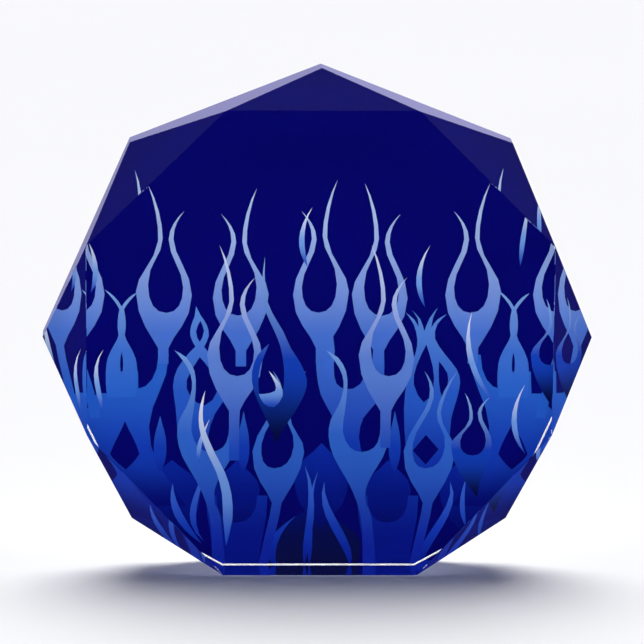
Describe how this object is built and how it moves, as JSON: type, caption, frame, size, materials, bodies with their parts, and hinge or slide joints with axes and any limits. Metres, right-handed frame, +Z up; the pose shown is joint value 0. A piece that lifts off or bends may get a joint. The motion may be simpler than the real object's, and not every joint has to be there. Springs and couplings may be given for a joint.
{
  "type": "crystal award",
  "caption": "Free-standing clear block award standing on a cut corner, with cut front corners and a blue flame print on its flat back.",
  "frame": {"origin": "bottom centre of the bounding box, on the plane that the foot stands on", "axes": "+X across the award to the viewer's right, +Y from the cut front face to the printed back, +Z up"},
  "size_m": [0.128, 0.019, 0.1176],
  "materials": {
    "clear_acrylic": "polished clear acrylic, bevelled corners",
    "coat_clear": "satin clear varnish over the white print",
    "ink_white": "opaque white ink flood",
    "ink_navy": "deep navy printed ground",
    "ink_upper": "blue printed flame, pale at the tips",
    "ink_middle": "pale blue printed flame",
    "ink_lower": "blue printed flame",
    "ink_ember": "dark blue printed flame, near black at the foot",
    "ink_leaf": "mid blue printed flame",
    "ink_bed": "dark royal blue printed flame",
    "ink_spark": "pale blue printed wisp that fades at its root",
    "ink_bottom": "royal blue printed wisp"
  },
  "bodies": {
    "root": {"clear_coat": "coat_clear", "crystal_block": "clear_acrylic", "flame_bed_1": "ink_bed", "flame_bed_2": "ink_bed", "flame_bed_3": "ink_bed", "flame_bed_4": "ink_bed", "flame_bed_5": "ink_bed", "flame_bottom_1": "ink_bottom", "flame_bottom_2": "ink_bottom", "flame_bottom_3": "ink_bottom", "flame_bottom_4": "ink_bottom", "flame_bottom_5": "ink_bottom", "flame_bottom_6": "ink_bottom", "flame_bottom_7": "ink_bottom", "flame_bottom_8": "ink_bottom", "flame_bud_1": "ink_leaf", "flame_bud_2": "ink_leaf", "flame_bud_3": "ink_leaf", "flame_ember_1": "ink_ember", "flame_ember_2": "ink_ember", "flame_ember_3": "ink_ember", "flame_floor": "ink_bed", "flame_knot_1": "ink_leaf", "flame_knot_2": "ink_leaf", "flame_leaf_1": "ink_leaf", "flame_leaf_2": "ink_leaf", "flame_lower_1": "ink_lower", "flame_lower_2": "ink_lower", "flame_lower_3": "ink_lower", "flame_lower_4": "ink_lower", "flame_mass_1": "ink_leaf", "flame_mass_2": "ink_leaf", "flame_middle_1": "ink_middle", "flame_middle_2": "ink_middle", "flame_skirt_1": "ink_lower", "flame_skirt_2": "ink_lower", "flame_skirt_3": "ink_lower", "flame_spark_1": "ink_spark", "flame_spark_10": "ink_spark", "flame_spark_11": "ink_spark", "flame_spark_2": "ink_spark", "flame_spark_3": "ink_spark", "flame_spark_4": "ink_spark", "flame_spark_5": "ink_spark", "flame_spark_6": "ink_spark", "flame_spark_7": "ink_spark", "flame_spark_8": "ink_spark", "flame_spark_9": "ink_spark", "flame_upper_1": "ink_upper", "flame_upper_2": "ink_upper", "flame_upper_3": "ink_upper", "flame_upper_4": "ink_upper", "flame_upper_5": "ink_upper", "flame_upper_6": "ink_upper", "flame_upper_7": "ink_upper", "ink_ground": "ink_navy", "white_flood": "ink_white"}
  },
  "joints": []
}
